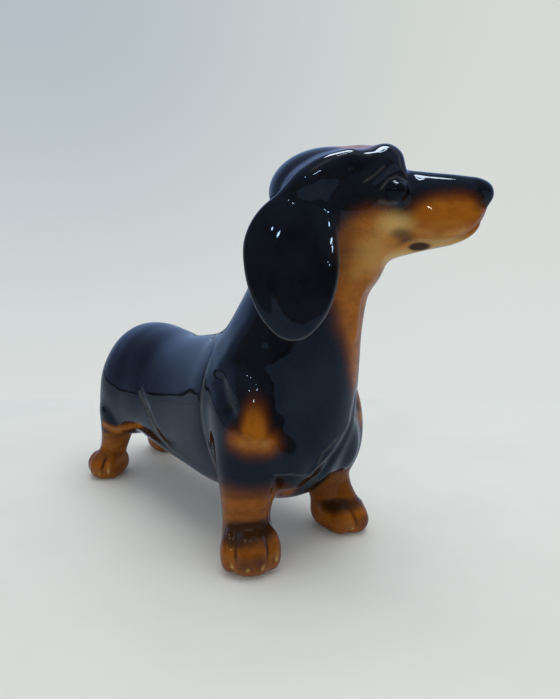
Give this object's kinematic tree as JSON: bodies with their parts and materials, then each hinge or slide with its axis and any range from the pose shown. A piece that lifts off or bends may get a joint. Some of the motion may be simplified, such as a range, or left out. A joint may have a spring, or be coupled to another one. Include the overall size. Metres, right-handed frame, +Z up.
{
  "type": "ceramic dog figurine",
  "caption": "Glazed ceramic dachshund figurine, standing on its paws with the head turned to its left.",
  "frame": {"origin": "middle of the bounding box, at the level of the soles", "axes": "+X towards the dog's front, +Y to its left, +Z up"},
  "size_m": [0.1836, 0.0714, 0.1388],
  "materials": {
    "rear_body_glaze": "glossy blue-black glaze, orange-brown underneath",
    "front_body_glaze": "glossy blue-black glaze with tan chest spots and throat stripe",
    "head_glaze": "glossy blue-black glaze with amber cheeks and lips",
    "ear_glaze": "glossy blue-black glaze, thin pale rim",
    "leg_glaze": "glossy amber glaze, dark brown toe grooves, bare clay soles",
    "tail_glaze": "glossy blue-black glaze",
    "eye_glaze": "glossy black glaze"
  },
  "bodies": {
    "root": {"rear_body_shell": "rear_body_glaze", "front_body_shell": "front_body_glaze", "head_shell": "head_glaze", "ear_left": "ear_glaze", "ear_right": "ear_glaze", "foreleg_left": "leg_glaze", "foreleg_right": "leg_glaze", "hindleg_left": "leg_glaze", "hindleg_right": "leg_glaze", "tail": "tail_glaze", "eye_left": "eye_glaze", "eye_right": "eye_glaze"}
  },
  "joints": []
}
